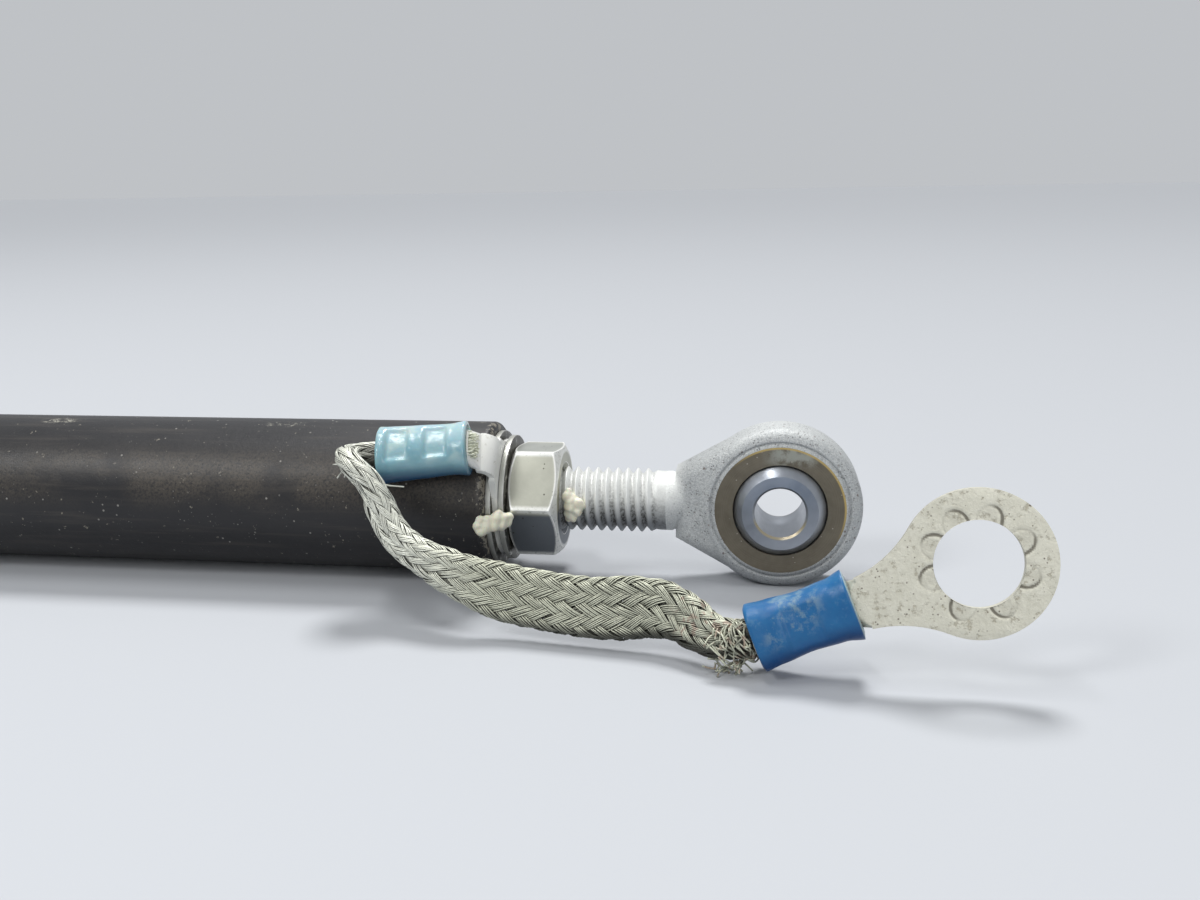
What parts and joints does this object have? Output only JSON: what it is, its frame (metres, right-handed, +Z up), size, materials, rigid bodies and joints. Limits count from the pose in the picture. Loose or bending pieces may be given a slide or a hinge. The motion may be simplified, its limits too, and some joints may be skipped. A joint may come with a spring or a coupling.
{
  "type": "aileron control rod",
  "caption": "Push-pull control rod: black tube with a locked spherical-bearing rod end at each end, and a bonding braid with ring terminals at one end.",
  "frame": {"origin": "centre of the near ball, in the middle of its bore", "axes": "+X along the rod, out of the near end; +Y along both ball bores, away from the pictured face; +Z up"},
  "size_m": [0.3351, 0.0394, 0.0213],
  "materials": {
    "black_enamel": "semi-gloss black enamel, scuffed",
    "aluminium_plug": "turned",
    "plated_steel": "dull zinc plate over a forged skin",
    "bronze_race": "dull brown bronze",
    "bearing_steel": "ground and hard-chromed",
    "nut_plating": "bright plate, khaki tint",
    "washer_plating": "bright plate",
    "tinned_copper": "dull tin plate over copper",
    "bare_copper": "bare copper",
    "tinned_braid": "tinned copper wire, woven",
    "pale_blue_nylon": "translucent nylon",
    "blue_vinyl": "dusty vinyl",
    "torque_lacquer": "dried cream lacquer"
  },
  "bodies": {
    "tube_assembly": {"tube": "black_enamel", "near_plug": "aluminium_plug", "far_plug": "aluminium_plug", "inner_washer": "washer_plating", "rod_terminal": "tinned_copper", "rod_terminal_grip": "bare_copper", "rod_terminal_sleeve": "pale_blue_nylon", "outer_washer": "washer_plating", "near_jam_nut": "nut_plating", "far_jam_nut": "nut_plating", "bonding_braid": "tinned_braid", "free_terminal": "tinned_copper", "free_terminal_grip": "bare_copper", "free_terminal_sleeve": "blue_vinyl"},
    "near_end": {"near_rod_end": "plated_steel", "near_race": "bronze_race"},
    "near_swivel_ball": {"near_ball": "bearing_steel"},
    "far_end": {"far_rod_end": "plated_steel", "far_race": "bronze_race"},
    "far_swivel_ball": {"far_ball": "bearing_steel"}
  },
  "joints": [
    {"name": "near_adjustment", "type": "slide", "parent": "tube_assembly", "child": "near_end", "axis": [1, 0, 0], "range_m": [-0.01, 0.006]},
    {"name": "near_ball_tilt", "type": "hinge", "parent": "near_end", "child": "near_swivel_ball", "pos_m": [0, 0, 0], "axis": [0, 0, 1], "range_deg": [-13, 13]},
    {"name": "far_adjustment", "type": "slide", "parent": "tube_assembly", "child": "far_end", "axis": [-1, 0, 0], "range_m": [-0.01, 0.006]},
    {"name": "far_ball_tilt", "type": "hinge", "parent": "far_end", "child": "far_swivel_ball", "pos_m": [-0.3, 0, 0], "axis": [0, 0, 1], "range_deg": [-13, 13]}
  ]
}
